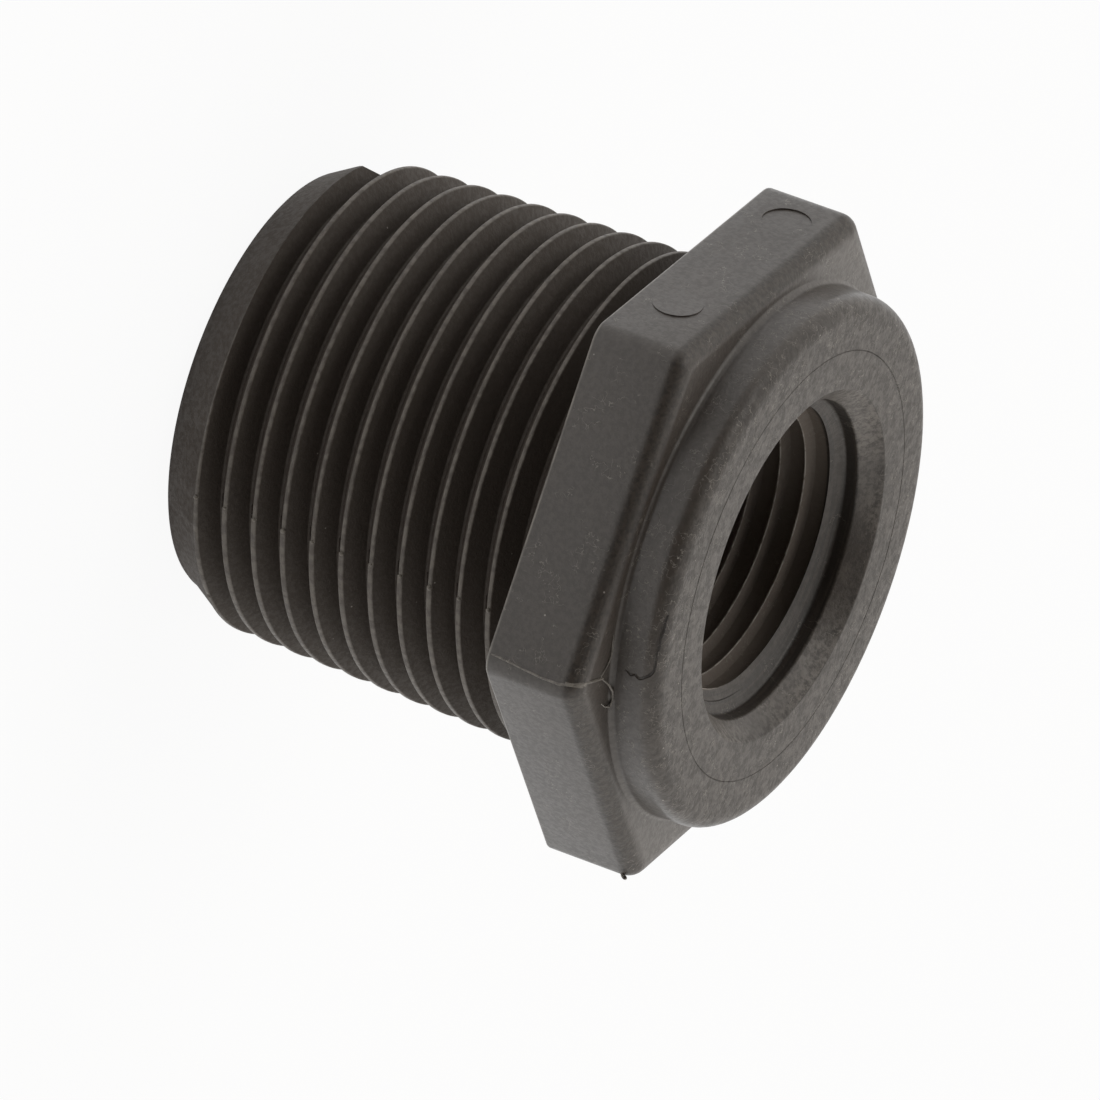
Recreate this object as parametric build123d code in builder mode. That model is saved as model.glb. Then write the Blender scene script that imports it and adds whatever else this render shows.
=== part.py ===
from build123d import *
from math import radians, tan
import os

os.makedirs("parts", exist_ok=True)

# A moulded reducing hex bushing, stood on the end of its threaded shank.
# Z is the pipe axis, Z = 0 is the end of the shank, and the collar faces up.
# Lengths are in millimetres and angles in degrees.
# Both threads are cosmetic here: the shank is the envelope over the male crests,
# and the female thread is its tapping bore.

# Shank with the 1 inch tapered male thread
shank_length = 28.1  # from the end to the back of the hexagon
crest_diameter = 32.0  # over the crests, where the envelope meets the shank's end
thread_taper = 1 / 16  # on diameter
nose_diameter = 28.7  # outside of the flat ring that the shank ends in
nose_angle = 30.0  # lead-in chamfer, from the axis

# Hexagon
across_flats = 39.2
hex_height = 6.75
hex_corner_radius = 1.5  # between two flats
hex_front_radius = 1.3  # round the edge towards the collar
hex_back_radius = 0.25  # round the edge towards the thread

# Round collar in front of the hexagon
collar_diameter = 36.0
collar_height = 3.25
collar_edge_radius = 1.3

# Mouth, from the collar's face inwards
mouth_diameter = 23.9
lead_in_depth = 1.35
recess_diameter = 21.6
recess_depth = 2.2  # where the recess meets the thread's own chamfer
thread_chamfer_angle = 53.0  # from the axis

# Tapping bore of the 1/2 inch female thread, and the waterway behind it
tap_bore_diameter = 18.3
tap_bore_depth = 19.0  # from the collar's face
step_angle = 45.0  # cone between the two bores, from the axis
waterway_diameter = 15.8
waterway_end_chamfer = 0.6  # where the waterway opens at the shank's end

# Heights that follow from the sizes above
hex_top = shank_length + hex_height
collar_face = hex_top + collar_height

# The chamfer's line and the envelope's line meet where the full thread starts.
nose_radius = nose_diameter / 2
crest_radius = crest_diameter / 2
nose_slope = tan(radians(nose_angle))
crest_slope = thread_taper / 2
full_thread_start = (crest_radius - nose_radius) / (nose_slope - crest_slope)
full_thread_radius = crest_radius + crest_slope * full_thread_start
shoulder_radius = crest_radius + crest_slope * shank_length

# Steps of the way through, from the mouth down
recess_radius = recess_diameter / 2
recess_bottom = collar_face - recess_depth
tap_radius = tap_bore_diameter / 2
tap_top = recess_bottom - (recess_radius - tap_radius) / tan(radians(thread_chamfer_angle))
tap_bottom = collar_face - tap_bore_depth
waterway_radius = waterway_diameter / 2
waterway_top = tap_bottom - (tap_radius - waterway_radius) / tan(radians(step_angle))

# Everything inside the mouth, as one turned form to be cut out
with BuildPart() as passage:
    with BuildSketch(Plane.XZ):
        with BuildLine():
            Polyline(
                (0, collar_face),
                (mouth_diameter / 2, collar_face),
                (recess_radius, collar_face - lead_in_depth),
                (recess_radius, recess_bottom),
                (tap_radius, tap_top),
                (tap_radius, tap_bottom),
                (waterway_radius, waterway_top),
                (waterway_radius, waterway_end_chamfer),
                (waterway_radius + waterway_end_chamfer, 0),
                (0, 0),
                close=True,
            )
        make_face()
    revolve(axis=Axis.Z)

with BuildPart() as hex_bushing:
    # hexagon, one flat towards -Y
    with BuildSketch(Plane.XY.offset(shank_length)):
        hexagon = RegularPolygon(across_flats / 2, 6, major_radius=False)
        fillet(hexagon.vertices(), hex_corner_radius)
    extrude(amount=hex_height)
    fillet(faces().sort_by(Axis.Z)[-1].edges(), hex_front_radius)
    fillet(faces().sort_by(Axis.Z)[0].edges(), hex_back_radius)

    # collar, rounded at its face
    with BuildSketch(Plane.XY.offset(hex_top)):
        Circle(collar_diameter / 2)
    extrude(amount=collar_height)
    fillet(faces().sort_by(Axis.Z)[-1].edges(), collar_edge_radius)

    # shank: lead-in chamfer and tapered thread envelope
    with BuildSketch(Plane.XZ):
        with BuildLine():
            Polyline(
                (0, 0),
                (nose_radius, 0),
                (full_thread_radius, full_thread_start),
                (shoulder_radius, shank_length),
                (0, shank_length),
                close=True,
            )
        make_face()
    revolve(axis=Axis.Z)

    add(passage.part, mode=Mode.SUBTRACT)

hex_bushing.part.label = "hex_bushing"
export_step(hex_bushing.part, "parts/hex_bushing.step")
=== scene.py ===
import math
import bpy
from mathutils import Euler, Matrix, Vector
from mathutils.kdtree import KDTree


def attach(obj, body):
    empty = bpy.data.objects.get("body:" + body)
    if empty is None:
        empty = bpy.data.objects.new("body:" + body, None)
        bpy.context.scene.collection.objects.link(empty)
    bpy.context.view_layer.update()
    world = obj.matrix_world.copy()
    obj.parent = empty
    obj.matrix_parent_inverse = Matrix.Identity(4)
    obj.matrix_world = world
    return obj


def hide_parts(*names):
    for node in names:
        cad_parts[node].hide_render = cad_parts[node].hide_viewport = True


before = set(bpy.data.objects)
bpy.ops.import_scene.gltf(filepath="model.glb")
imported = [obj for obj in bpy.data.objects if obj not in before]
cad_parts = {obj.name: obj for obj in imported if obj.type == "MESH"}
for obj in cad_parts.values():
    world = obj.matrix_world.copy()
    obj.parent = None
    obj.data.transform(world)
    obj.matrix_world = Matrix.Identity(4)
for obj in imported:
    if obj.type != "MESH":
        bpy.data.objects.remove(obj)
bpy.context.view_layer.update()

mm = 0.001
mergeDistance = 0.002 * mm

# The part stands on the end of its shank and Z is the pipe axis. Sizes are in millimetres.
outside = {
    "shankLength": 28.1,
    "noseRadius": 14.35,
    "rimRadius": 14.45,  # floor before the thread starts
    "noseAngle": 30.0,  # of the lead-in up to the first crest, from the axis
    "threadStart": -186.0,  # degrees round from +X
    "leadInTop": 0.07,  # how far the lead-in reaches over the first crest
    "fadeSize": (10.0, 9.0, 4.4),  # block that ends the first crest on a flat
    "fadePlace": (19.52, 4.5, 1.2),  # its centre: outwards, along the thread, and up
    "partingAngle": -60.5,  # where the two mould halves met
    "acrossFlats": 39.2,
    "hexHeight": 6.75,
    "hexCornerRadius": 1.5,
    "hexFrontRadius": 1.3,
    "hexBackRadius": 0.22,
    "collarRadius": 18.0,
    "collarHeight": 3.25,
    "collarEdgeRadius": 1.3,
    "collarFootRadius": 0.45,
    "witnessRadius": 14.54,  # ring left by the mould insert
    "witnessDepth": 0.05,
    "witnessWidth": 0.1,
    "segments": 192,
}
inside = {
    "mouthRadius": 11.95,
    "mouthRound": 0.18,
    "leadInDepth": 1.35,
    "recessRadius": 10.8,
    "recessDepth": 2.3,
    "recessCornerRadius": 0.3,  # at both ends of the recess
    "chamferRadius": 9.35,
    "chamferDepth": 3.08,
    "coreRadius": 8.75,  # just inside the thread's crests
    "threadLength": 19.0,  # from the collar's face
    "threadOverlap": 0.2,  # past the recess
    "waterwayRadius": 7.9,
    "endChamfer": 0.6,
}
maleThread = {
    "pitch": 25.4 / 11.5,
    "crestRadius": 16.0,  # at the end of the shank
    "taper": 1 / 32,  # on radius
    "crestHeight": 1.22,  # of one crest, on the +X side
    "landWidth": 0.26,
    "depth": 1.5,
    "flankSlope": math.tan(math.radians(30)),
    "edgeRound": 0.12,
    "rootRound": 0.1,
    "runOut": 0.57,  # past the end of the shank, before it is cut off
    "runIn": 0.97,  # into the hexagon
    "steps": 160,
}
halfShift = {"crestHeight": -0.045, "landWidth": 0.07}  # the second mould half against the first
femaleThread = {
    "pitch": 25.4 / 14,
    "crestRadius": 8.233,  # carried down to the end of the shank
    "taper": 1 / 32,
    "crestHeight": 33.51 - 95.4 / 360 * 25.4 / 14,
    "landWidth": 0.07,
    "depth": -0.62,  # grows outwards
    "flankSlope": math.tan(math.radians(30)),
    "edgeRound": 0.03,
    "rootRound": 0.08,
    "steps": 120,
}
hexTop = outside["shankLength"] + outside["hexHeight"]
faceHeight = hexTop + outside["collarHeight"]


def deselectAll():
    if bpy.context.object and bpy.context.object.mode != "OBJECT":
        bpy.ops.object.mode_set(mode="OBJECT")
    bpy.ops.object.select_all(action="DESELECT")


def pick(thing):
    deselectAll()
    thing.select_set(True)
    bpy.context.view_layer.objects.active = thing


def faceOutwards(thing):
    pick(thing)
    bpy.ops.object.mode_set(mode="EDIT")
    bpy.ops.mesh.select_all(action="SELECT")
    bpy.ops.mesh.normals_make_consistent(inside=False)
    bpy.ops.object.mode_set(mode="OBJECT")


def roundCorners(points, arcSteps=6):
    # a point is (radius, height), with a corner radius after them where the corner is round
    line = []
    for i, point in enumerate(points):
        corner = Vector(point[:2])
        if len(point) < 3:
            line.append(corner)
            continue
        before = (Vector(points[i - 1][:2]) - corner).normalized()
        after = (Vector(points[i + 1][:2]) - corner).normalized()
        half = before.angle(after) / 2
        centre = corner + (before + after).normalized() * point[2] / math.sin(half)
        start = corner + before * point[2] / math.tan(half) - centre
        finish = corner + after * point[2] / math.tan(half) - centre
        sweep = math.atan2(start.x * finish.y - start.y * finish.x, start.dot(finish))
        for k in range(arcSteps + 1):
            a = sweep * k / arcSteps
            line.append(centre + Vector((
                start.x * math.cos(a) - start.y * math.sin(a),
                start.x * math.sin(a) + start.y * math.cos(a),
            )))
    return line


def drawLine(name, points):
    # one vertex, extruded from point to point: (x, z) or (x, y, z)
    deselectAll()
    bpy.ops.mesh.primitive_plane_add(size=1)
    line = bpy.context.object
    line.name = line.data.name = name
    bpy.ops.object.mode_set(mode="EDIT")
    bpy.ops.mesh.select_mode(type="VERT")
    bpy.ops.mesh.select_all(action="SELECT")
    bpy.ops.mesh.merge(type="CENTER")
    here = Vector((0, 0, 0))
    for i, point in enumerate(points):
        there = Vector(point if len(point) == 3 else (point[0], 0, point[1])) * mm
        if i == 0:
            bpy.ops.transform.translate(value=there - here)
        else:
            bpy.ops.mesh.extrude_vertices_move(TRANSFORM_OT_translate={"value": there - here})
        here = there
    bpy.ops.object.mode_set(mode="OBJECT")
    return line


def turn(line, steps, rise=0.0, turns=1):
    pick(line)
    screw = line.modifiers.new("Turn", "SCREW")
    screw.axis = "Z"
    screw.steps = screw.render_steps = steps
    screw.screw_offset = rise * mm
    screw.iterations = turns
    bpy.ops.object.modifier_apply(modifier="Turn")
    bpy.ops.object.mode_set(mode="EDIT")
    bpy.ops.mesh.select_all(action="SELECT")
    bpy.ops.mesh.remove_doubles(threshold=mergeDistance)
    bpy.ops.mesh.normals_make_consistent(inside=False)
    bpy.ops.object.mode_set(mode="OBJECT")
    return line


def trim(thing, height, keepAbove):
    # cuts straight across and closes the cut
    pick(thing)
    bpy.ops.object.mode_set(mode="EDIT")
    bpy.ops.mesh.select_all(action="SELECT")
    bpy.ops.mesh.bisect(
        plane_co=(0, 0, height * mm), plane_no=(0, 0, 1), use_fill=True,
        clear_inner=keepAbove, clear_outer=not keepAbove, threshold=0.0001 * mm,
    )
    bpy.ops.object.mode_set(mode="OBJECT")


def combine(thing, tool, how):
    pick(thing)
    step = thing.modifiers.new("Combine", "BOOLEAN")
    step.operation = how
    step.object = tool
    step.solver = "MANIFOLD"
    bpy.ops.object.modifier_apply(modifier="Combine")
    bpy.data.objects.remove(tool)


def makeThread(name, t, bottom, top):
    # a closed tapered screw between two heights, right hand, from the thread's sizes t
    halfPitch = t["pitch"] / 2
    halfLand = t["landWidth"] / 2
    halfRoot = halfLand + abs(t["depth"]) * t["flankSlope"]
    crest = t["crestRadius"]
    root = crest - t["depth"]
    tooth = roundCorners([
        (root, -halfPitch),
        (root, -halfRoot, t["rootRound"]),
        (crest, -halfLand, t["edgeRound"]),
        (crest, halfLand, t["edgeRound"]),
        (root, halfRoot, t["rootRound"]),
        (root, halfPitch),
    ], 4)
    below = math.ceil((t["crestHeight"] - bottom) / t["pitch"]) + 2
    start = t["crestHeight"] - below * t["pitch"]
    turns = math.ceil((top - start) / t["pitch"]) + 2
    screw = turn(drawLine(name, tooth), t["steps"], t["pitch"], turns)
    bpy.ops.object.mode_set(mode="EDIT")
    bpy.ops.mesh.select_all(action="SELECT")
    bpy.ops.transform.translate(value=(0, 0, start * mm))
    bpy.ops.object.mode_set(mode="OBJECT")
    taper = screw.modifiers.new("Taper", "SIMPLE_DEFORM")
    taper.deform_method = "TAPER"
    taper.deform_axis = "Z"
    heights = [v.co.z for v in screw.data.vertices]
    taper.factor = (max(heights) - min(heights)) / mm * t["taper"] / crest
    bpy.ops.object.modifier_apply(modifier="Taper")
    trim(screw, bottom, True)
    trim(screw, top, False)
    faceOutwards(screw)
    return screw


def selectEdges(thing, test):
    # edges whose two ends pass the test, in edit mode
    pick(thing)
    bpy.ops.object.mode_set(mode="EDIT")
    bpy.ops.mesh.select_all(action="DESELECT")
    bpy.ops.mesh.select_mode(type="EDGE")
    bpy.ops.object.mode_set(mode="OBJECT")
    for edge in thing.data.edges:
        ends = [thing.data.vertices[i].co / mm for i in edge.vertices]
        edge.select = test(ends[0], ends[1])
    bpy.ops.object.mode_set(mode="EDIT")


def makeHexagon():
    middle = outside["shankLength"] + outside["hexHeight"] / 2
    cornerOffset = outside["hexCornerRadius"] * math.tan(math.pi / 6)
    deselectAll()
    bpy.ops.mesh.primitive_cylinder_add(
        vertices=6,
        radius=outside["acrossFlats"] / 2 / math.cos(math.pi / 6) * mm,
        depth=outside["hexHeight"] * mm,
        location=(0, 0, middle * mm),
        rotation=(0, 0, math.pi / 6),
    )
    nut = bpy.context.object
    nut.name = nut.data.name = "hexagon"
    bpy.ops.object.transform_apply(location=True, rotation=True, scale=True)
    selectEdges(nut, lambda a, b: (a.z - middle) * (b.z - middle) < 0)
    bpy.ops.mesh.bevel(offset=cornerOffset * mm, segments=6, affect="EDGES")
    selectEdges(nut, lambda a, b: min(a.z, b.z) > hexTop - 0.01)
    bpy.ops.mesh.bevel(offset=outside["hexFrontRadius"] * mm, segments=8, affect="EDGES")
    selectEdges(nut, lambda a, b: max(a.z, b.z) < outside["shankLength"] + 0.01)
    bpy.ops.mesh.bevel(offset=outside["hexBackRadius"] * mm, segments=3, affect="EDGES")
    bpy.ops.object.mode_set(mode="OBJECT")
    return nut


def halfBlock(side):
    # a block on one side of the parting plane, reaching a little over it
    deselectAll()
    bpy.ops.mesh.primitive_cube_add(size=1)
    block = bpy.context.object
    length, depth, overlap = 80, 40, 0.01
    block.scale = (length * mm, depth * mm, length * mm)
    turnBy = math.radians(outside["partingAngle"])
    away = side * (depth / 2 - overlap) * mm
    block.location = (-away * math.sin(turnBy), away * math.cos(turnBy), 0)
    block.rotation_euler.z = turnBy
    bpy.ops.object.transform_apply(location=True, rotation=True, scale=True)
    return block


def helixBand(name, points, startAngle, sweep):
    # a closed outline carried along part of a turn of the male thread's helix, and capped
    band = drawLine(name, points + points[:1])
    pick(band)
    screw = band.modifiers.new("Turn", "SCREW")
    screw.axis = "Z"
    screw.angle = math.radians(sweep)
    screw.steps = screw.render_steps = 80
    screw.screw_offset = maleThread["pitch"] * sweep / 360 * mm
    bpy.ops.object.modifier_apply(modifier="Turn")
    bpy.ops.object.mode_set(mode="EDIT")
    bpy.ops.mesh.select_all(action="SELECT")
    bpy.ops.mesh.remove_doubles(threshold=mergeDistance)
    bpy.ops.mesh.fill_holes(sides=0)
    bpy.ops.object.mode_set(mode="OBJECT")
    faceOutwards(band)
    band.rotation_euler.z = math.radians(startAngle)
    bpy.ops.object.transform_apply(location=False, rotation=True, scale=False)
    return band


# Shank: one screw for each mould half, then the lead-in up to the first crest
shankBottom = -maleThread["runOut"]
shankTop = outside["shankLength"] + maleThread["runIn"]
bushing = makeThread("bushing", maleThread, shankBottom, shankTop)
combine(bushing, halfBlock(-1), "INTERSECT")
otherThread = dict(maleThread)
for key, change in halfShift.items():
    otherThread[key] += change
otherHalf = makeThread("otherHalf", otherThread, shankBottom, shankTop)
combine(otherHalf, halfBlock(1), "INTERSECT")
combine(bushing, otherHalf, "UNION")
print("shank done", len(bushing.data.polygons))

noseSlope = math.tan(math.radians(outside["noseAngle"]))
floorRadius = outside["rimRadius"]
startRadius = maleThread["crestRadius"] + outside["leadInTop"]
rampLength = (startRadius - floorRadius) / noseSlope
coreRadius = 12.5  # well inside the shank
clearRadius = 20  # well outside it
fillReach, clearReach = 5, 8  # how far the two outlines go down from the crest
crestOverlap = 0.12
# the lead-in climbs to the first crest in two half turns: filled first, then cleared above the slope
for how in ("UNION", "DIFFERENCE"):
    for startAngle, sweep in ((outside["threadStart"], 181), (outside["threadStart"] + 180, 180)):
        crestHeight = maleThread["crestHeight"] + maleThread["pitch"] * (startAngle / 360 + 1)
        rampTop = crestHeight - maleThread["landWidth"] / 2
        rampFoot = rampTop - rampLength
        filled = [
            (coreRadius, rampTop - fillReach),
            (floorRadius, rampTop - fillReach),
            (floorRadius, rampFoot),
            (startRadius, rampTop),
            (startRadius, rampTop + crestOverlap),
            (coreRadius, rampTop + crestOverlap),
        ]
        cleared = [
            (floorRadius, rampTop - clearReach),
            (clearRadius, rampTop - clearReach),
            (clearRadius, rampTop),
            (startRadius, rampTop),
            (floorRadius, rampFoot),
        ]
        outline = filled if how == "UNION" else cleared
        combine(bushing, helixBand("leadIn", outline, startAngle, sweep), how)

fadeAngle = math.radians(outside["threadStart"] - 1)  # the first crest dies away on a flat
deselectAll()
bpy.ops.mesh.primitive_cube_add(size=1)
fadeBlock = bpy.context.object
fadeBlock.scale = [size * mm for size in outside["fadeSize"]]
outwards = Vector((math.cos(fadeAngle), math.sin(fadeAngle), 0))
sideways = Vector((-math.sin(fadeAngle), math.cos(fadeAngle), 0))
outBy, alongBy, upBy = outside["fadePlace"]
fadeBlock.location = (outwards * outBy + sideways * alongBy + Vector((0, 0, upBy))) * mm
fadeBlock.rotation_euler.z = fadeAngle
bpy.ops.object.transform_apply(location=True, rotation=True, scale=True)
combine(bushing, fadeBlock, "DIFFERENCE")
coneTop = 5  # above the first crest
combine(bushing, turn(drawLine("noseCut", [
    (outside["noseRadius"] - noseSlope, -1),
    (clearRadius, -1),
    (clearRadius, coneTop),
    (outside["noseRadius"] + coneTop * noseSlope, coneTop),
    (outside["noseRadius"] - noseSlope, -1),
]), outside["segments"]), "DIFFERENCE")
trim(bushing, 0, True)
faceOutwards(bushing)
print("nose done", len(bushing.data.polygons))

combine(bushing, makeHexagon(), "UNION")
collarOuter = outside["collarRadius"]
footHeight = hexTop - 0.02  # the foot's hollow dips just under the hexagon's face
halfWitness = outside["witnessWidth"] / 2
collar = turn(drawLine("collar", roundCorners([
    (0, hexTop - 1),
    (collarOuter, hexTop - 1),
    (collarOuter + outside["collarFootRadius"], footHeight),
    (collarOuter, footHeight, outside["collarFootRadius"] * 0.999),
    (collarOuter, faceHeight, outside["collarEdgeRadius"]),
    (outside["witnessRadius"] + halfWitness, faceHeight),
    (outside["witnessRadius"], faceHeight - outside["witnessDepth"]),
    (outside["witnessRadius"] - halfWitness, faceHeight),
    (0, faceHeight),
], 10)), outside["segments"])
combine(bushing, collar, "UNION")
print("collar done", len(bushing.data.polygons))

chamferRise = inside["chamferDepth"] - inside["recessDepth"]
chamferSlope = (inside["recessRadius"] - inside["chamferRadius"]) / chamferRise
coreTop = faceHeight - inside["chamferDepth"] - (inside["chamferRadius"] - inside["coreRadius"]) / chamferSlope
threadBottom = faceHeight - inside["threadLength"]
way = turn(drawLine("way", roundCorners([
    (0, -1),
    (inside["waterwayRadius"] + inside["endChamfer"] + 1, -1),
    (inside["waterwayRadius"], inside["endChamfer"]),
    (inside["waterwayRadius"], threadBottom - inside["coreRadius"] + inside["waterwayRadius"]),
    (inside["coreRadius"], threadBottom),
    (inside["coreRadius"], coreTop),
    (inside["recessRadius"], faceHeight - inside["recessDepth"], inside["recessCornerRadius"]),
    (inside["recessRadius"], faceHeight - inside["leadInDepth"], inside["recessCornerRadius"]),
    (inside["mouthRadius"], faceHeight, inside["mouthRound"]),
    (inside["mouthRadius"] + 1, faceHeight),
    (inside["mouthRadius"] + 1, faceHeight + 1),
    (0, faceHeight + 1),
], 5)), outside["segments"])
combine(bushing, way, "DIFFERENCE")
print("way through done", len(bushing.data.polygons))
threadTop = faceHeight - inside["recessDepth"] + inside["threadOverlap"]
combine(bushing, makeThread("tap", femaleThread, threadBottom, threadTop), "DIFFERENCE")
print("female thread done", len(bushing.data.polygons))


# Marks left by the mould: ejector pads, flash where the halves met, a small spur, a crack and chips
marks = {
    "padRadius": 1.62,
    "padFlat": -150.0,  # the way the pads' flat faces
    "padLean": -0.028,  # out of true, toward the next line's share along the flat and up
    "padLeansTo": (0.87, 0.48),
    "padDepth": 0.6,  # of the pin end that is cut or added
    "padStep": 0.045,
    "sunkPad": (-20.83, -3.10, 31.34),
    "raisedPad": (-14.11, -14.76, 30.93),
    # each point is x, y, z and thickness
    "raised": [
        [  # flash down the hexagon's corner
            (10.42, -19.60, 28.4, 0.05), (10.48, -19.60, 29.4, 0.09), (10.62, -19.58, 30.6, 0.06),
            (10.73, -19.57, 32.0, 0.08), (10.76, -19.55, 33.3, 0.10), (10.58, -19.42, 34.1, 0.14),
            (10.32, -19.02, 34.62, 0.13), (10.02, -18.1, 34.86, 0.12), (9.80, -17.1, 34.87, 0.10),
            (9.66, -16.5, 34.90, 0.09),
        ],
        [  # curl at its end
            (9.72, -16.7, 34.88, 0.07), (10.0, -15.6, 35.0, 0.08), (10.35, -14.95, 35.12, 0.09),
            (10.95, -14.42, 35.1, 0.07), (11.42, -14.3, 34.98, 0.08), (11.45, -14.9, 34.9, 0.06),
            (11.3, -15.5, 34.87, 0.05),
        ],
        [  # whisker along the collar's foot
            (9.69, -16.91, 34.86, 0.06), (8.8, -16.5, 34.88, 0.08), (8.2, -16.5, 34.93, 0.06),
            (7.81, -16.65, 34.92, 0.07), (6.84, -17.12, 34.87, 0.04),
        ],
        [  # spur on the next corner
            (21.9, -0.46, 33.5, 0.2), (22.22, -0.44, 33.62, 0.19), (22.40, -0.42, 33.78, 0.14),
            (22.50, -0.42, 34.0, 0.07), (22.52, -0.42, 34.14, 0.04),
        ],
    ],
    "cut": [
        [  # crack over the collar's rounding
            (8.70, -15.78, 35.8, 0.06), (8.98, -15.64, 36.25, 0.16), (8.80, -15.72, 36.5, 0.10),
            (9.02, -15.60, 36.85, 0.17), (8.78, -15.60, 37.2, 0.11), (8.50, -15.60, 37.5, 0.15),
            (8.22, -15.62, 37.64, 0.10), (7.7, -15.85, 37.70, 0.16), (7.17, -16.15, 37.66, 0.11),
            (6.7, -16.28, 37.74, 0.17), (6.17, -16.50, 37.70, 0.12), (5.6, -16.62, 37.80, 0.2),
            (4.97, -16.82, 37.80, 0.17), (4.45, -16.85, 37.86, 0.08),
        ],
    ],
    "bumps": (0.13, 0.17, 0.11, 0.15, 0.2),  # on the crests where the halves met
    "crests": 12,  # that carry a bump
    "chips": [  # x, y, z and size
        (6.2, -15.45, 15.43, 0.36), (14.3, -7.85, 3.3, 0.3),
        (9.1, -14.3, 19.6, 0.22), (-1.9, -16.5, 8.4, 0.24),
    ],
    "smoothUnder": 32.0,  # degrees between faces that are shaded as one
    "tornReach": 0.04,  # past a bit's own thickness
    "largestTorn": 0.035,  # square millimetres
}


def pad(centre, heightAbove):
    # a round pin end, a little out of true with the flat it stands on
    flatAngle = math.radians(marks["padFlat"])
    faces = Vector((math.cos(flatAngle), math.sin(flatAngle), 0))
    alongFlat, up = marks["padLeansTo"]
    leansTo = Vector((-faces.y, faces.x, 0)) * alongFlat + Vector((0, 0, up))
    axis = (faces + leansTo * marks["padLean"]).normalized()
    depth = marks["padDepth"]
    inwards = -1 if heightAbove > 0 else 1
    deselectAll()
    bpy.ops.mesh.primitive_cylinder_add(
        vertices=72, radius=marks["padRadius"] * mm, depth=depth * mm,
        location=(Vector(centre) + faces * heightAbove + axis * (depth / 2 * inwards)) * mm,
        rotation=axis.to_track_quat("Z", "Y").to_euler(),
    )
    bpy.ops.object.transform_apply(location=True, rotation=True, scale=True)
    return bpy.context.object


def bead(name, points):
    # a thin tube through the points
    tube = drawLine(name, [point[:3] for point in points])
    pick(tube)
    tube.modifiers.new("Skin", "SKIN")
    for spot, point in zip(tube.data.skin_vertices[0].data, points):
        spot.radius = (point[3] * mm, point[3] * mm)
    bpy.ops.object.modifier_apply(modifier="Skin")
    tube.modifiers.new("Round", "SUBSURF")
    bpy.ops.object.modifier_apply(modifier="Round")
    faceOutwards(tube)
    return tube


def pebbles(spots):
    # small rough balls as one object
    balls = []
    deselectAll()
    for ax, ay, az, size in spots:
        bpy.ops.mesh.primitive_ico_sphere_add(
            subdivisions=2, radius=size * mm, location=(ax * mm, ay * mm, az * mm),
        )
        balls.append(bpy.context.object)
    for ball in balls:
        ball.select_set(True)
    bpy.ops.object.join()
    bpy.ops.object.transform_apply(location=True, rotation=True, scale=True)
    return bpy.context.object


combine(bushing, pad(marks["sunkPad"], -marks["padStep"]), "DIFFERENCE")
combine(bushing, pad(marks["raisedPad"], marks["padStep"]), "UNION")
for points in marks["raised"]:
    combine(bushing, bead("flash", points), "UNION")
for points in marks["cut"]:
    combine(bushing, bead("crack", points), "DIFFERENCE")
seam = math.radians(outside["partingAngle"])
seamBumps = []
for k in range(1, marks["crests"] + 1):
    z = maleThread["crestHeight"] + maleThread["pitch"] * (k + outside["partingAngle"] / 360)
    r = maleThread["crestRadius"] + z * maleThread["taper"]
    size = marks["bumps"][k % len(marks["bumps"])]
    seamBumps.append((r * math.cos(seam), r * math.sin(seam), z, size))
combine(bushing, pebbles(seamBumps), "UNION")
combine(bushing, pebbles(marks["chips"]), "DIFFERENCE")
print("mould marks done", len(bushing.data.polygons))

pick(bushing)
bpy.ops.object.shade_smooth_by_angle(angle=math.radians(marks["smoothUnder"]))

# the thin torn bits are paler than the rest: faces that are small and close to a bit's middle line
largestTorn = marks["largestTorn"] * mm * mm
torn = bushing.data.attributes.new("torn", "FLOAT", "FACE")
tornSpots = [Vector(spot) for spot in seamBumps]
for points in marks["raised"]:
    for start, finish in zip(points, points[1:]):
        tornSpots += [Vector(start).lerp(Vector(finish), k / 8) for k in range(9)]
spotTree = KDTree(len(tornSpots))
for i, spot in enumerate(tornSpots):
    spotTree.insert(spot.xyz, i)
spotTree.balance()
for face in bushing.data.polygons:
    nearest, i, distance = spotTree.find(face.center / mm)
    isTorn = distance < tornSpots[i].w + marks["tornReach"] and face.area < largestTorn
    torn.data[face.index].value = 1.0 if isTorn else 0.0

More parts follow.
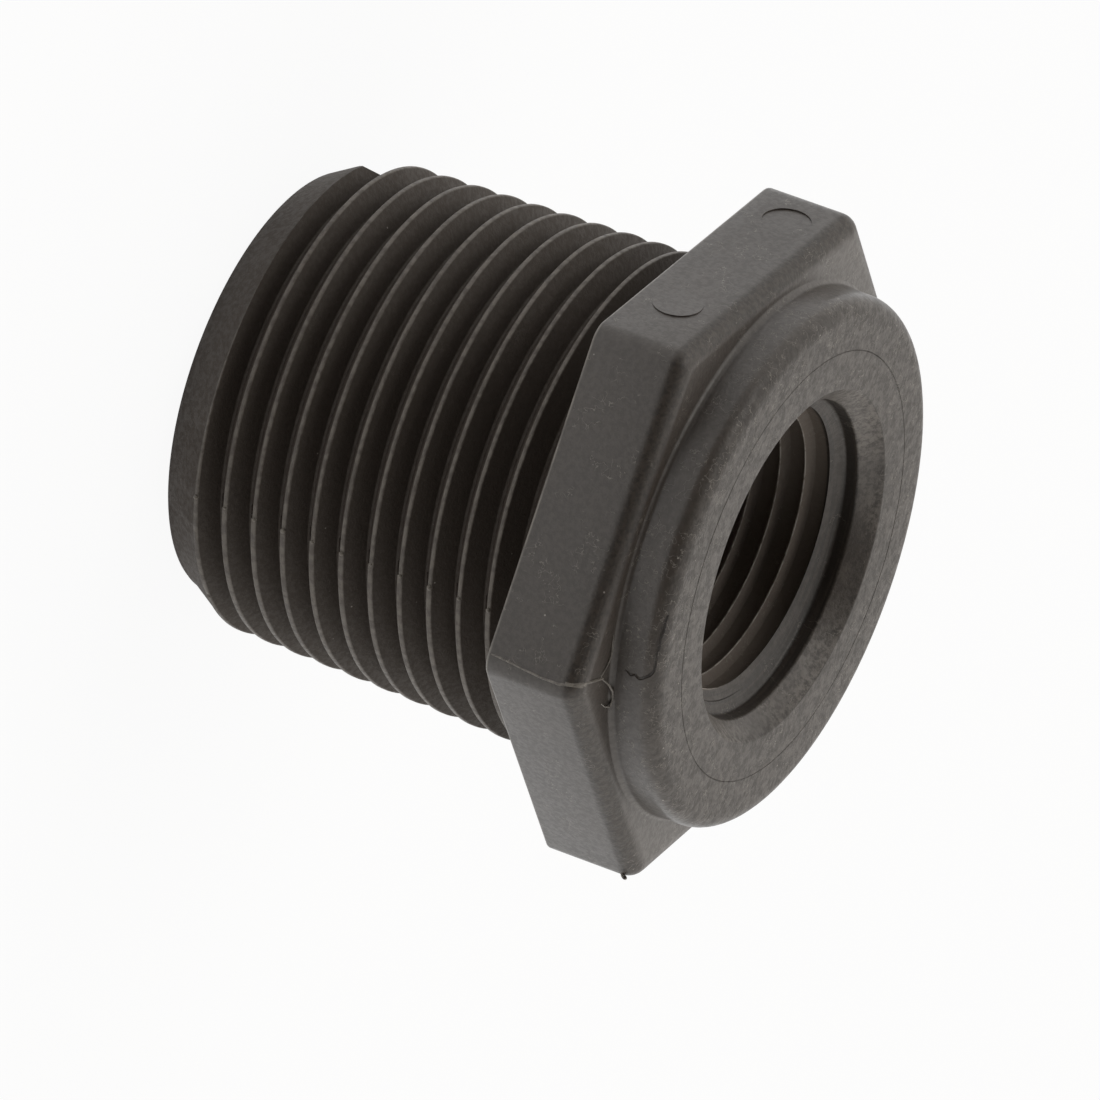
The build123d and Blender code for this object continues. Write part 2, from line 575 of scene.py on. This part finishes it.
# Moulded plastic: mottled warm grey, with grain, pale specks, hairline scratches and worn crests, and painted
# shade, highlights, sheen and light in places
plasticLook = {
    "darkColour": (0.034, 0.027, 0.0215, 1),
    "lightColour": (0.076, 0.0615, 0.050, 1),
    "threadColour": (0.054, 0.042, 0.033, 1),  # on the thread's flanks
    # for scratches and torn bits, and the painted highlight on the hexagon's back edge
    "scratchAndHighlightColour": (0.24, 0.22, 0.19, 1),
    # for specks, and the painted highlight on the bore thread's crests
    "speckAndHighlightColour": (0.45, 0.42, 0.38, 1),
    "wornAndSheenColour": (0.155, 0.137, 0.118, 1),  # on the crests' lands, worn and with a painted highlight, and as painted sheen on the mouth's cone
    # painted light inside the bore
    "boreLightColour": (0.15, 0.126, 0.105, 1),
    "ringAndShadeColour": (0.026, 0.021, 0.017, 1),  # painted shade round the hexagon's front edge, stippled, and in the thread's entry with its rings
    # painted shade on the collar's up-facing face, with marble veins in it
    "faceShadeAndMarbleColour": (0.028, 0.0225, 0.018, 1),
    "patchScale": 170,
    "marbleScale": 1050,
    "mottleScale": 2600,
    "grainScale": 5600,
    "grainHeight": 0.017,
    "grainStrength": 0.8,
    "ringScale": 4200,
    "ringDrift": 0.0004,  # how much the rings change on their way round
    "stippledShadeScale": 3300,
    "wearAndHighlightScale": 1700,
    "innerWearAndHighlightScale": 1500,
    "backEdgeHighlightScale": 700,
    "scratchScale": 1350,
    "scratchedPlacesScale": 640,
    "speckScale": 1150,
    "roughness": (0.42, 0.55),
    "threadRoughness": 0.2,  # more on the thread
    "specular": 0.5,
    "skinGloss": 0.65,  # smooth moulded skin off the thread
    "skinRoughness": 0.34,
}
plastic = bpy.data.materials.new("glassFilledPlastic")
plastic.use_nodes = True
tree = plastic.node_tree
shader = tree.nodes["Principled BSDF"]
shader.inputs["Specular IOR Level"].default_value = plasticLook["specular"]


def node(kind, **settings):
    made = tree.nodes.new("ShaderNode" + kind)
    for key, value in settings.items():
        setattr(made, key, value)
    return made


def feed(socket, value):
    if isinstance(value, bpy.types.NodeSocket):
        tree.links.new(value, socket)
    else:
        socket.default_value = value


def figure(operation, *values):
    step = node("Math", operation=operation)
    for socket, value in zip(step.inputs, values):
        feed(socket, value)
    return step.outputs[0]


def times(a, b):
    return figure("MULTIPLY", a, b)


def without(a):
    return figure("SUBTRACT", 1.0, a)


def fade(value, low, high, newLow=0.0, newHigh=1.0):
    # 0 below low and 1 above high, smooth between
    step = node("MapRange", interpolation_type="SMOOTHSTEP")
    feed(step.inputs["Value"], value)
    feed(step.inputs["From Min"], low)
    feed(step.inputs["From Max"], high)
    feed(step.inputs["To Min"], newLow)
    feed(step.inputs["To Max"], newHigh)
    return step.outputs["Result"]


def fadeOver(value, zone, newLow=0.0, newHigh=1.0):
    # the same, between two lengths in millimetres
    return fade(value, zone[0] * mm, zone[1] * mm, newLow, newHigh)


def noise(scale, detail=2.0, roughness=0.5, vector=None):
    step = node("TexNoise")
    feed(step.inputs["Vector"], vector or place)
    feed(step.inputs["Scale"], scale)
    feed(step.inputs["Detail"], detail)
    feed(step.inputs["Roughness"], roughness)
    return step.outputs["Fac"]


def tint(factor, under, over):
    step = node("Mix", data_type="RGBA")
    feed(step.inputs["Factor"], factor)
    feed(step.inputs["A"], under)
    feed(step.inputs["B"], over)
    return step.outputs["Result"]


# where the finishes and the painted shade and highlights change: heights, radii, or distances from the crests
backOfHexagon = outside["shankLength"]
zones = {
    "land": (0.0, 0.11),
    "innerLand": (0.0, 0.06),
    "overCollar": (hexTop, hexTop + 1.2),
    "towardEdge": (11.5, 16.8),
    "face": (faceHeight - 1.0, faceHeight - 0.05),
    "boreTop": (34.85, 35.0),
    "boreRadius": 10.4,
    "entryBottom": (34.9, 35.0),
    "entryRadius": 10.86,
    "coneBottom": (36.6, 36.75),
    "coneRadius": 11.93,
    "roundingFoot": (hexTop - 1.35, hexTop - 0.9),
    "roundingTop": (hexTop - 0.12, hexTop - 0.01),
    "roundingRadius": 18.05,
    "backFoot": (backOfHexagon + 0.01, backOfHexagon + 0.05),
    "backTop": (backOfHexagon + 0.12, backOfHexagon + 0.26),
}
place = node("TexCoord").outputs["Object"]
along = node("SeparateXYZ")
feed(along.inputs[0], place)
x, y, z = (along.outputs[i] for i in range(3))
radius = figure("SQRT", figure("ADD", times(x, x), times(y, y)))
onShank = figure("LESS_THAN", z, backOfHexagon * mm)
crestHere = figure("MULTIPLY_ADD", z, maleThread["taper"], maleThread["crestRadius"] * mm)
belowCrest = figure("SUBTRACT", crestHere, radius)
land = times(fadeOver(belowCrest, zones["land"], 1.0, 0.0), onShank)
nearEdge = times(fadeOver(z, zones["overCollar"]), fadeOver(radius, zones["towardEdge"]))

mottle = fade(noise(plasticLook["mottleScale"], 3.0, 0.7), 0.34, 0.66)
patches = fade(noise(plasticLook["patchScale"], 2.0), 0.35, 0.68)
paleness = figure("MULTIPLY_ADD", patches, 0.16, figure("MULTIPLY_ADD", mottle, 0.34, 0.22))
colour = tint(paleness, plasticLook["darkColour"], plasticLook["lightColour"])
belowEntry = fadeOver(z, zones["boreTop"], 1.0, 0.0)
inBore = times(belowEntry, figure("LESS_THAN", radius, zones["boreRadius"] * mm))
flank = figure("MAXIMUM", onShank, inBore)
onFace = fadeOver(z, zones["face"])
marble = fade(noise(plasticLook["marbleScale"], 3.0, 0.66), 0.4, 0.62)
# painted shade: the collar's face is painted darker, broken up by marble veins
shadedMarbleFace = times(onFace, fade(marble, 0.0, 1.0, 0.75, 0.1))
colour = tint(shadedMarbleFace, colour, plasticLook["faceShadeAndMarbleColour"])
darkerFlank = times(flank, fade(mottle, 0.0, 1.0, 0.95, 0.6))
colour = tint(darkerFlank, colour, plasticLook["threadColour"])
# painted light: the bore is painted paler in place of fill light reaching inside
colour = tint(times(inBore, 0.9), colour, plasticLook["boreLightColour"])
innerCrestHere = figure("MULTIPLY_ADD", z, femaleThread["taper"], femaleThread["crestRadius"] * mm)
behindCrest = figure("SUBTRACT", radius, innerCrestHere)
innerLand = times(fadeOver(behindCrest, zones["innerLand"], 1.0, 0.0), inBore)
# fine rings left by the core pin on the thread's entry over painted shade, and pale patches of painted sheen
# on the mouth's cone
ringPlace = node("CombineXYZ")
feed(ringPlace.inputs[0], radius)
feed(ringPlace.inputs[1], z)
feed(ringPlace.inputs[2], times(figure("ARCTAN2", y, x), plasticLook["ringDrift"]))
rings = fade(noise(plasticLook["ringScale"], 2.0, 0.6, ringPlace.outputs[0]), 0.38, 0.62)
overBore = fadeOver(z, zones["entryBottom"])
inEntry = times(overBore, figure("LESS_THAN", radius, zones["entryRadius"] * mm))
overRecess = fadeOver(z, zones["coneBottom"])
inCone = times(overRecess, figure("LESS_THAN", radius, zones["coneRadius"] * mm))
# painted shade over the thread's entry, with lighter rings through it
ringedShade = times(inEntry, fade(rings, 0.0, 1.0, 0.95, 0.2))
colour = tint(ringedShade, colour, plasticLook["ringAndShadeColour"])
# painted sheen: pale patches on the mouth's cone
paintedConeSheen = times(inCone, times(patches, mottle))
colour = tint(paintedConeSheen, colour, plasticLook["wornAndSheenColour"])
# the bore thread's crests are painted pale: some wear, and a painted highlight where their small lands catch
# light
innerWearAndHighlight = times(innerLand, fade(noise(plasticLook["innerWearAndHighlightScale"], 2.0), 0.35, 0.6, 0.2, 0.9))
colour = tint(innerWearAndHighlight, colour, plasticLook["speckAndHighlightColour"])
# the hexagon's front rounding gets stippled painted shade, and its back edge a pale painted highlight
frontRounding = times(fadeOver(z, zones["roundingFoot"]), fadeOver(z, zones["roundingTop"], 1.0, 0.0))
outsideCollar = figure("GREATER_THAN", radius, zones["roundingRadius"] * mm)
frontRounding = times(frontRounding, outsideCollar)
# painted shade on the front rounding, broken into stipple
stippledShade = fade(noise(plasticLook["stippledShadeScale"], 2.0, 0.6), 0.36, 0.58, 0.85, 0.15)
colour = tint(times(frontRounding, stippledShade), colour, plasticLook["ringAndShadeColour"])
# painted highlight: a pale streak along the hexagon's back edge
backEdge = times(fadeOver(z, zones["backFoot"]), fadeOver(z, zones["backTop"], 1.0, 0.0))
backEdgeHighlight = times(backEdge, fade(noise(plasticLook["backEdgeHighlightScale"], 3.0), 0.3, 0.6, 0.25, 0.8))
colour = tint(backEdgeHighlight, colour, plasticLook["scratchAndHighlightColour"])
# the male thread's lands are worn and carry a painted highlight, and torn bits are pale
wearAndHighlight = times(land, fade(noise(plasticLook["wearAndHighlightScale"], 3.0), 0.36, 0.62, 0.35, 1.0))
colour = tint(wearAndHighlight, colour, plasticLook["wornAndSheenColour"])
tornHere = node("Attribute", attribute_name="torn").outputs["Fac"]
tornHere = times(tornHere, fade(mottle, 0.0, 1.0, 0.35, 0.8))
colour = tint(tornHere, colour, plasticLook["scratchAndHighlightColour"])

# hairline scratches run where a bent noise crosses its middle, and only in some places
bend = noise(plasticLook["scratchScale"], 2.0, 0.55)
hairline = fade(figure("ABSOLUTE", figure("SUBTRACT", bend, 0.5)), 0.002, 0.014, 1.0, 0.0)
scratchedPlaces = noise(plasticLook["scratchedPlacesScale"], 2.0)
someScratches = fade(figure("MULTIPLY_ADD", nearEdge, 0.13, scratchedPlaces), 0.56, 0.63)
offShank = without(times(onShank, 0.85))
scratch = times(times(hairline, someScratches), offShank)
colour = tint(times(scratch, 0.6), colour, plasticLook["scratchAndHighlightColour"])

# specks are the middles of a few cells, more of them near the collar's edge
cells = node("TexVoronoi")
feed(cells.inputs["Vector"], place)
feed(cells.inputs["Scale"], plasticLook["speckScale"])
picked = node("SeparateColor")
feed(picked.inputs[0], cells.outputs["Color"])
rare = figure("GREATER_THAN", figure("MULTIPLY_ADD", nearEdge, 0.16, picked.outputs[0]), 0.965)
speck = times(fade(cells.outputs["Distance"], 0.02, 0.10, 1.0, 0.0), rare)
colour = tint(times(speck, 0.8), colour, plasticLook["speckAndHighlightColour"])
feed(shader.inputs["Base Color"], colour)

# dull on the thread, smooth skin elsewhere
low, high = plasticLook["roughness"]
rough = figure("MULTIPLY_ADD", flank, plasticLook["threadRoughness"], fade(mottle, 0.0, 1.0, high, low))
feed(shader.inputs["Roughness"], figure("SUBTRACT", rough, times(land, 0.2)))
dullFace = times(onFace, fade(marble, 0.0, 1.0, 0.76, 0.46))
gloss = times(without(flank), without(dullFace))
halfDull = times(figure("MAXIMUM", frontRounding, inEntry), 0.5)
gloss = times(gloss, without(halfDull))
feed(shader.inputs["Coat Weight"], times(gloss, plasticLook["skinGloss"]))
shader.inputs["Coat Roughness"].default_value = plasticLook["skinRoughness"]

# fine relief
grain = noise(plasticLook["grainScale"], 3.0, 0.6)
height = figure("ADD", grain, times(mottle, 0.8))
height = figure("ADD", height, times(scratch, 0.8))
height = figure("ADD", height, times(marble, times(nearEdge, 1.2)))
bump = node("Bump")
feed(bump.inputs["Height"], height)
feed(bump.inputs["Distance"], plasticLook["grainHeight"] * mm)
feed(bump.inputs["Strength"], plasticLook["grainStrength"])
feed(shader.inputs["Normal"], bump.outputs[0])
bushing.data.materials.clear()
bushing.data.materials.append(plastic)
print("plastic done")

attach(bushing, "root")
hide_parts("hex_bushing")

# Floor, light and camera
stage = {
    "floorSize": 4,
    "floorColour": (0.9, 0.9, 0.9, 1),
    "floorRoughness": 0.9,
    "tentColour": (1.0, 0.965, 0.922, 1),
    "shadowShare": 0.07,  # of the lit floor that the camera sees
    "behindCamera": 0.02,  # strength of the light from the camera's side
    "towardCamera": (-0.064, -0.919, 0.390),
    "towardLamp": (-0.54, -0.13, 0.83),  # a softer box high on one side
    "lampStrength": 1.8,
    "cameraPlace": (-0.059642, -0.916723, 0.410941),
    "cameraTurn": (-38.8362, -59.9491, 128.9327),  # degrees
    "lens": 507.27,
}
deselectAll()
bpy.ops.mesh.primitive_plane_add(size=stage["floorSize"], location=(0, 0, 0))
floor = bpy.context.object
floor.name = floor.data.name = "floor"
floorPaint = bpy.data.materials.new("paleFloor")
floorPaint.use_nodes = True
tree = floorPaint.node_tree
lit = tree.nodes["Principled BSDF"]
lit.inputs["Base Color"].default_value = stage["floorColour"]
lit.inputs["Roughness"].default_value = stage["floorRoughness"]
white = node("Emission")
path = node("LightPath")
direct = figure("MAXIMUM", path.outputs["Is Camera Ray"], path.outputs["Is Glossy Ray"])
direct = figure("MAXIMUM", direct, path.outputs["Is Transmission Ray"])
blend = node("MixShader")
feed(blend.inputs[0], times(direct, 1 - stage["shadowShare"]))
tree.links.new(lit.outputs[0], blend.inputs[1])
tree.links.new(white.outputs[0], blend.inputs[2])
tree.links.new(blend.outputs[0], tree.nodes["Material Output"].inputs["Surface"])
floor.data.materials.append(floorPaint)

# A white tent all round, dimmer behind the camera
world = bpy.data.worlds.new("softTent")
bpy.context.scene.world = world
world.use_nodes = True
tree = world.node_tree
tent = tree.nodes["Background"]
tent.inputs["Color"].default_value = stage["tentColour"]
toward = node("VectorMath", operation="DOT_PRODUCT")
feed(toward.inputs[0], node("TexCoord").outputs["Generated"])
feed(toward.inputs[1], stage["towardCamera"])
lampward = node("VectorMath", operation="DOT_PRODUCT")
feed(lampward.inputs[0], node("TexCoord").outputs["Generated"])
feed(lampward.inputs[1], stage["towardLamp"])
lamp = fade(lampward.outputs["Value"], 0.95, 0.99, 0.0, stage["lampStrength"])
walls = fade(toward.outputs["Value"], 0.22, 0.88, 1.0, stage["behindCamera"])
feed(tent.inputs["Strength"], figure("ADD", lamp, walls))
print("stage done")

lens = bpy.data.cameras.new("camera")
lens.lens = stage["lens"]
lens.clip_start = 0.01
camera = bpy.data.objects.new("camera", lens)
bpy.context.collection.objects.link(camera)
camera.location = stage["cameraPlace"]
camera.rotation_euler = Euler([math.radians(a) for a in stage["cameraTurn"]], "XYZ")
bpy.context.scene.camera = camera
bpy.context.scene.view_settings.view_transform = "Standard"
